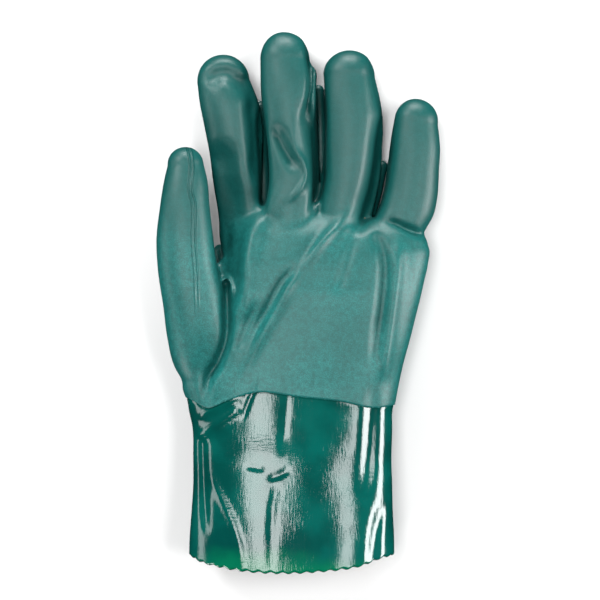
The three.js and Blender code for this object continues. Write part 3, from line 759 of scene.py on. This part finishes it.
# The dip is thin and greener at the mouth. The knit under it shows in the gloss as upright and level marks.
CUFF_DEEP = (0.0006, 0.052, 0.044, 1)
CUFF_MAIN = (0.001, 0.085, 0.07, 1)
CUFF_HEM = (0.001, 0.13, 0.065, 1)
gloss, surface, place = new_material("glossy_dip", CUFF_MAIN[:3])
x, y, z = place.millimetres()
tone = place.node("TexNoise", Vector=place, Scale=45.0, Detail=3.0)
fine = place.node("TexNoise", Vector=place, Scale=700.0, Detail=3.0, Roughness=0.7)
shade = tone.between(0.35, 0.65).mix(CUFF_DEEP, CUFF_MAIN)
at_mouth = (y + (tone - 0.5) * 20).between(-122, -133)
drive(surface, "Base Color", at_mouth.mix(shade, CUFF_HEM))
drive(surface, "Roughness", 0.06 + fine * 0.1)
drive(surface, "Specular IOR Level", 0.62)
upright = place.node("Mapping", Vector=place, Scale=(1100.0, 130.0, 1100.0))
level = place.node("Mapping", Vector=place, Scale=(170.0, 900.0, 170.0))
wales = place.node("TexNoise", Vector=upright, Scale=1.0, Detail=2.0, Roughness=0.6)
courses = place.node("TexNoise", Vector=level, Scale=1.0, Detail=3.0, Roughness=0.6)
patches = place.node("TexNoise", Vector=place, Scale=70.0, Detail=2.0).between(0.35, 0.7)
knit = wales * (0.5 + patches * 0.8) + courses * (0.2 + patches * 1.5)
knit_bump = place.node("Bump", Strength=1.0, Distance=0.00006, Height=knit)
drive(surface, "Normal", knit_bump)

for finish in (gloss, jersey):
    cuff.data.materials.append(finish)
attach(cuff, "root")
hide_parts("cuff")


# The floor: a pale matt sheet that the glove lies on, seen as white.
FLOOR_SIDE = 3.0
FLOOR_GREY = (0.82, 0.82, 0.82, 1)
floor_mesh = bpy.data.meshes.new("floor")
corners = [(x * FLOOR_SIDE, y * FLOOR_SIDE, -0.0003) for x, y in ((-1, -1), (1, -1), (1, 1), (-1, 1))]
floor_mesh.from_pydata(corners, [], [(0, 1, 2, 3)])
floor = bpy.data.objects.new("floor", floor_mesh)
bpy.context.scene.collection.objects.link(floor)
sheet, surface, place = new_material("pale_floor", FLOOR_GREY[:3])
drive(surface, "Base Color", FLOOR_GREY)
drive(surface, "Roughness", 0.9)
drive(surface, "Specular IOR Level", 0.1)
floor_mesh.materials.append(sheet)
floor.visible_diffuse = False
floor.visible_glossy = False


# Soft studio light. Two long boxes overhead, left and right, make the streaks on the glossy cuff, and low
# boxes all round rake over the hand, so that its gaps stay dark. The room is white where the camera sees it
# and gives almost no light.
def softbox(name, tilt, turn, away, along, across, power):
    """A box at an angle from the upright and a turn from +X, both in degrees, aimed at the glove. across is
    its width in the direction in which it is tilted."""
    lamp = bpy.data.lights.new(name, "AREA")
    lamp.shape = "RECTANGLE"
    lamp.size = along
    lamp.size_y = across
    lamp.energy = power
    lean, round_z = np.radians(tilt), np.radians(turn)
    spot = Vector((np.sin(lean) * np.cos(round_z), np.sin(lean) * np.sin(round_z), np.cos(lean))) * away
    box = bpy.data.objects.new(name, lamp)
    box.location = spot
    box.rotation_euler = (lean, 0, round_z + np.pi / 2)
    box.visible_camera = False
    bpy.context.scene.collection.objects.link(box)


softbox("overhead left", 12, 180, 1.5, 0.8, 0.45, 10.5)
softbox("overhead right", 27, 0, 1.4, 0.8, 0.3, 6.5)
softbox("fingertips", 74, 90, 1.5, 0.9, 0.36, 24)
softbox("thumb side", 57, 135, 1.5, 0.5, 0.4, 12)
softbox("wrist side", 74, 225, 1.5, 0.4, 0.4, 9)
softbox("little finger side", 73, 357, 1.5, 0.9, 0.55, 26)
softbox("left edge", 78, 180, 1.5, 0.8, 0.5, 5)
room = bpy.data.worlds.new("room")
bpy.context.scene.world = room
room.use_nodes = True
tree = room.node_tree
backdrop = tree.nodes["Background"]
backdrop.inputs["Color"].default_value = (1, 1, 1, 1)
rays = tree.nodes.new("ShaderNodeLightPath").outputs
seen = Val(tree, rays["Is Camera Ray"])
drive(backdrop, "Strength", seen * 0.85 + 0.005)


# The camera looks straight down from over the middle of the glove, as the photograph does.
CAMERA_HEIGHT = 1.1
SEEN_WIDTH = 0.3  # what the frame spans at the height of the palm's middle
SEEN_LEVEL = 0.018
eye = bpy.data.cameras.new("camera")
eye.lens = eye.sensor_width * (CAMERA_HEIGHT - SEEN_LEVEL) / SEEN_WIDTH
eye.clip_start = 0.05
camera = bpy.data.objects.new("camera", eye)
camera.location = (0, 0, CAMERA_HEIGHT)
bpy.context.scene.collection.objects.link(camera)
bpy.context.scene.camera = camera
bpy.context.scene.view_settings.view_transform = "Standard"
